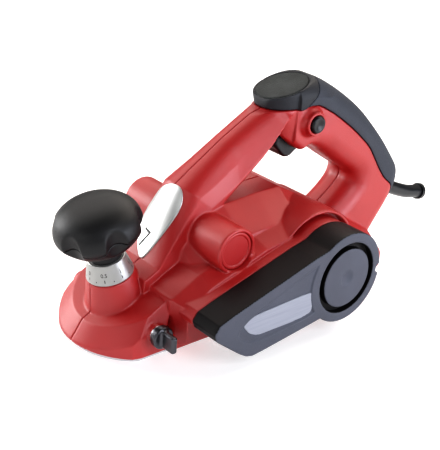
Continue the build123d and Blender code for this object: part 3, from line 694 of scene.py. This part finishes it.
def belt_case():
    """Belt cover in black, its outer face a lighter grey-blue of painted sheen over real texture, with its label
    plate.
    """
    f = Field((-118, -87, 5), (41, -61, 78), STEP * 0.75)
    made = piece(f.mesh(cover_shape(f), "belt_case"), cover_side, "root", "dark_cover", "belt_cover")
    paint_front_sheen(made, cover_face_painted_sheen)
    label = f.slab(f.outline(soften(LABEL, 2, 0.16)), COVER_Y + 0.35, COVER_Y + 2, 0.25)
    piece(f.mesh(label, "cover_label"), label_silver, "root", "silver_print", "belt_cover_label")


belt_case()

# ---------------------------------------------------------------- depth knob and its graduated ring

AXIS_TURN = Matrix((
    (KNOB_AXIS[1], 0, KNOB_AXIS[0]),
    (0, 1, 0),
    (-KNOB_AXIS[0], 0, KNOB_AXIS[1]),
)).to_4x4()
ON_KNOB = Matrix.Translation((KNOB_FOOT[0] * MM, 0, KNOB_FOOT[1] * MM)) @ AXIS_TURN
KNOB_R = 29.1
KNOB_WAIST = 57  # height on the axis where the knob is widest
KNOB_DOME = 19.4  # height of its dome over that
KNOB_LOW = 43.5
SPLIT_HEIGHT = 55.5  # line between the knob's two halves, and how far it waves
SPLIT_WAVE = 2.2
SCOOPS = 6
SCOOP_R = 8.6
SCOOP_TURN = math.radians(-20)


def knob():
    """Knob: smooth dome over a body with finger scoops, split along a wavy line."""
    f = Field((-31, -31, 30), (31, 31, 78), STEP * 0.75)
    radius = np.hypot(f.x, f.y)
    angle = np.arctan2(f.y, f.x) + SCOOP_TURN
    over_waist = np.maximum(f.z - KNOB_WAIST, 0)
    dome = ((radius / KNOB_R) ** 2.5 + (over_waist / KNOB_DOME) ** 2.5) ** 0.4
    solid = (dome - 1) * 17
    under = radius - (12 + 17.4 * np.sqrt(np.clip((f.z - 43) / 13, 0, 1)))
    solid = both(solid, np.where(f.z < KNOB_WAIST, under * 0.7, -5), 1.0)
    solid = both(solid, KNOB_LOW - f.z, 1.5)
    for i in range(SCOOPS):
        turn = 2 * math.pi * i / SCOOPS - SCOOP_TURN
        lean = 33.0 + (f.z - KNOB_WAIST) * 0.15
        scoop = np.hypot(f.x - lean * math.cos(turn), f.y - lean * math.sin(turn)) - SCOOP_R
        solid = cut(solid, scoop, 1.0)
    split = f.z - SPLIT_HEIGHT - SPLIT_WAVE * np.cos(SCOOPS * angle)
    neck = both(radius - 10.8, np.maximum(f.z - 48, 34 - f.z), 0.5)
    body = cut(join(solid, neck, 2.5), np.maximum(np.abs(split) - 0.16, -solid - 0.7), 0.15)
    for name, share, stands_for in (("knob_top", -split, "knob_cap"), ("knob_body", split, "knob_base")):
        data = f.mesh(np.maximum(body, share), name)
        data.transform(ON_KNOB)
        piece(data, knob_black, "knob", "black_plastic", stands_for)


RING_HIGH = 35.5
SPINDLE_ROOM_R = 5.2
RING_NUMBERS = 8
RING_TURN = math.radians(180)
TICK_LOW = 24.4
TICK_HIGH = (26.4, 25.2)  # at a number, and between two numbers
TICK_HALF = 0.016  # half width, as an angle
TICK_FACES = ((0, 2, 3, 1), (4, 5, 7, 6), (0, 1, 5, 4), (2, 6, 7, 3), (1, 3, 7, 5), (0, 4, 6, 2))
DIGIT_LOW = 28.2
DIGIT_SIZE = 3.6


def ring_mark(data, name):
    """Black print on the graduated ring."""
    data.name = name
    data.transform(ON_KNOB)
    piece(data, black, "knob", "black_plastic")


def ring_surface(height):
    """Radius of the graduated ring at a height."""
    return RING_LOW_R - 0.26 * (height - RING_LOW)


def ring_point(turn, out, height):
    """Place on the ring in metres, a little way out from its surface."""
    r = ring_surface(height) + out
    return r * math.cos(turn) * MM, r * math.sin(turn) * MM, height * MM


def ring_body():
    """Silver ring, wider at its lower edge."""
    f = Field((-18, -18, 20), (18, 18, 37), STEP * 0.45)
    radius = np.hypot(f.x, f.y)
    ends = np.maximum(RING_LOW - f.z, f.z - RING_HIGH)
    solid = rounded((radius - ring_surface(f.z)) * 0.95, ends, 0.3)
    data = f.mesh(cut(solid, radius - SPINDLE_ROOM_R, 0.2), "graduated_ring")
    data.transform(ON_KNOB)
    piece(data, silver, "knob", "silver_print", "depth_scale_ring")


def ring_ticks():
    """Small blocks set into the ring, every other one longer."""
    corners, faces = [], []
    for tick in range(2 * RING_NUMBERS):
        turn = RING_TURN + math.pi * tick / RING_NUMBERS
        first = len(corners)
        for height in (TICK_LOW, TICK_HIGH[tick % 2]):
            for side in (-1, 1):
                for out in (-0.25, 0.05):
                    corners.append(ring_point(turn + side * TICK_HALF, out, height))
        faces += [[first + corner for corner in face] for face in TICK_FACES]
    ticks = bpy.data.meshes.new("ring_ticks")
    ticks.from_pydata(corners, [], faces)
    ring_mark(ticks, "ring_ticks")


def ring_digits():
    """Raised depth figures, bent round the ring."""
    for number in range(RING_NUMBERS):
        letters = bpy.data.curves.new("digits", "FONT")
        letters.body = str(number * 0.5).replace(".0", "")
        letters.size = DIGIT_SIZE * MM
        letters.extrude = 0.15 * MM
        letters.align_x = "CENTER"
        holder = bpy.data.objects.new("digits", letters)
        digits = bpy.data.meshes.new_from_object(holder)
        bpy.data.objects.remove(holder)
        turn = 2 * math.pi * number / RING_NUMBERS + RING_TURN
        for vertex in digits.vertices:
            across, up, out = (v / MM for v in vertex.co)
            height = DIGIT_LOW + up
            bend = across / (ring_surface(height) + out - 0.1)
            vertex.co = ring_point(turn + bend, out - 0.1, height)
        ring_mark(digits, "ring_number_" + str(number))


knob()
ring_body()
ring_ticks()
ring_digits()

# ---------------------------------------------------------------- small pieces

TRIGGER_HALF = 8
SPRING_SEAT = 117.6  # floor of the seat for the trigger's spring
TRIGGER = [
    (6.7, 101.2), (1, 106), (-4.3, 112.5), (-0.6, 119.5), (10, 121), (24, 121), (30, 119), (30, 112),
    (18, 105), (12, 101),
]


def trigger_blade():
    """Trigger with a finger scoop, a hole for its pin and a seat for its spring."""
    f = Field((-8, -9, 99), (32, 9, 123), STEP * 0.55)
    blade = f.slab(f.outline(soften(TRIGGER, 2, 0.2)), -TRIGGER_HALF, TRIGGER_HALF, 2.2)
    scoop = np.hypot(f.x + 3.4, f.z - 103.0) - 5.6
    blade = cut(blade, scoop, 1.5)
    blade = cut(blade, f.rod(TRIGGER_PIN, 1.6, -9, 9, 0.1), 0.2)
    seat_foot = (centre("trigger_spring")[0], SPRING_SEAT)
    seat = f.turned(seat_foot, (0, 1), lambda radius, height: np.maximum(radius - 4.2, -height))
    blade = cut(blade, seat, 0.3)
    piece(f.mesh(blade, "trigger_blade"), black, "trigger_body", "black_plastic", "trigger")


def lock_push():
    """Lock-off button with a dished face and a flange inside the housing."""
    low, high = (np.array(v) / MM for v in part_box("lock_button"))
    f = Field(low - 1, high + 1, STEP * 0.4)
    push = f.rod(LOCK, 6.2, low[1], high[1], 1.6)
    push = join(push, f.rod(LOCK, 7.6, high[1] - 1.4, high[1], 0.3), 0.2)
    push = cut(push, f.ball((LOCK[0], low[1] - 6.0, LOCK[1]), 7.0), 0.8)
    push = cut(push, f.rod(LOCK, 3.2, -21, -12, 0.1), 0.2)
    piece(f.mesh(push, "lock_push"), black, "lock", "black_plastic", "lock_button")


def outlet_plug():
    """Cup that closes the near end of the chute, with a raised rim round its face."""
    x, z = CHUTE
    f = Field((x - 14, -52, z - 14), (x + 14, -39, z + 14), STEP * 0.5)
    plug = f.rod(CHUTE, 12.9, -51.2, -40, 0.8)
    plug = cut(plug, f.rod(CHUTE, 10.9, -47, -30, 0.3), 0.2)
    plug = cut(plug, np.maximum(f.circle(CHUTE, 10.6), f.y + 50.5), 0.5)
    piece(f.mesh(plug, "outlet_plug"), red, "plug", "red_housing", "chute_plug")


def wing_bolt():
    """Thumb screw for the fence: shank, round flange and a tab to turn it by."""
    x, z = GUIDE_BOLT
    f = Field((x - 9, -64, z - 9), (x + 9, -27, z + 9), STEP * 0.45)
    bolt = join(f.rod(GUIDE_BOLT, 3.0, -49, -28, 0.4), f.rod(GUIDE_BOLT, 7.6, -51.5, -46.3, 1.1), 0.5)
    tab = f.block((x - 2.1, -62.8, z - 5.8), (x + 2.1, -50, z + 5.8), 1.5)
    bolt = join(bolt, tab, 2.2)
    piece(f.mesh(bolt, "wing_bolt"), dark_steel, "fence_bolt", "dark_steel", "guide_bolt")


trigger_blade()
lock_push()
outlet_plug()
wing_bolt()

# ---------------------------------------------------------------- studio


def area(name, place, target, size, power, colour=(1, 1, 1)):
    """Rectangular area light turned to a target."""
    light = bpy.data.lights.new(name, "AREA")
    light.shape = "RECTANGLE"
    light.size, light.size_y = size
    light.energy = power
    light.color = colour
    made = bpy.data.objects.new(name, light)
    made.location = place
    made.rotation_euler = (Vector(target) - Vector(place)).to_track_quat("-Z", "Y").to_euler()
    bpy.context.scene.collection.objects.link(made)


def studio():
    """Pale floor that shines a little, six soft lights and a faint sky."""
    floor_data = bpy.data.meshes.new("floor")
    floor_data.from_pydata([(-4, -4, 0), (4, -4, 0), (4, 4, 0), (-4, 4, 0)], [], [(0, 1, 2, 3)])
    floor = bpy.data.objects.new("floor", floor_data)
    bpy.context.scene.collection.objects.link(floor)
    floor.location.z = -0.0005
    paper = material("floor", (0.72, 0.72, 0.72), 0.7, mottle=0.01)
    shader = paper.node_tree.nodes["Principled BSDF"]
    shader.inputs["Emission Color"].default_value = (1, 1, 1, 1)
    shader.inputs["Emission Strength"].default_value = 0.4
    floor_data.materials.append(paper)
    area("top", (0.05, 0.80, 0.90), (-0.02, 0, 0.05), (1.5, 1.0), 7, (1.0, 0.96, 0.92))
    area("left", (-0.62, 0.95, 0.35), (-0.05, 0, 0.06), (0.5, 0.5), 7)
    area("front", (-1.10, -0.10, 0.45), (-0.05, 0, 0.06), (0.7, 0.5), 2)
    area("right", (0.50, -0.90, 0.20), (0, 0, 0.06), (0.6, 0.35), 5, (0.86, 0.90, 1.0))
    area("key", (-0.20, -0.95, 0.75), (0, 0, 0.08), (0.5, 0.5), 4.5, (0.92, 0.94, 1.0))
    area("behind", (0.72, 0.10, 0.85), (0, 0, 0.05), (1.2, 0.8), 7, (1.0, 0.92, 0.84))
    world = bpy.data.worlds.new("studio")
    world.use_nodes = True
    sky = world.node_tree.nodes["Background"]
    sky.inputs["Color"].default_value = (0.97, 0.98, 1.0, 1)
    sky.inputs["Strength"].default_value = 0.05
    bpy.context.scene.world = world
    bpy.context.scene.view_settings.view_transform = "Standard"
    bpy.context.scene.view_settings.look = "High Contrast"


CAMERA_PLACE = (-0.46276, -0.46935, 0.34535)
CAMERA_ANGLES = (-0.730862, 0.428555, 0.078025)  # turn about Z, tilt down and roll, in radians
CAMERA_LENS = 79.2  # focal length on a sensor 36 mm wide


def camera():
    """Camera that looks down at the belt side from ahead."""
    turn, tilt, roll = CAMERA_ANGLES
    back = Vector((math.sin(turn) * math.cos(tilt), -math.cos(turn) * math.cos(tilt), math.sin(tilt)))
    right = Vector((math.cos(turn), math.sin(turn), 0))
    up = back.cross(right)
    rolled_right = right * math.cos(roll) + up * math.sin(roll)
    rolled_up = up * math.cos(roll) - right * math.sin(roll)
    lens = bpy.data.cameras.new("camera")
    lens.sensor_width = 36.0
    lens.lens = CAMERA_LENS
    made = bpy.data.objects.new("camera", lens)
    facing = Matrix((rolled_right, rolled_up, back)).transposed().to_4x4()
    made.matrix_world = Matrix.Translation(CAMERA_PLACE) @ facing
    bpy.context.scene.collection.objects.link(made)
    bpy.context.scene.camera = made


studio()
camera()
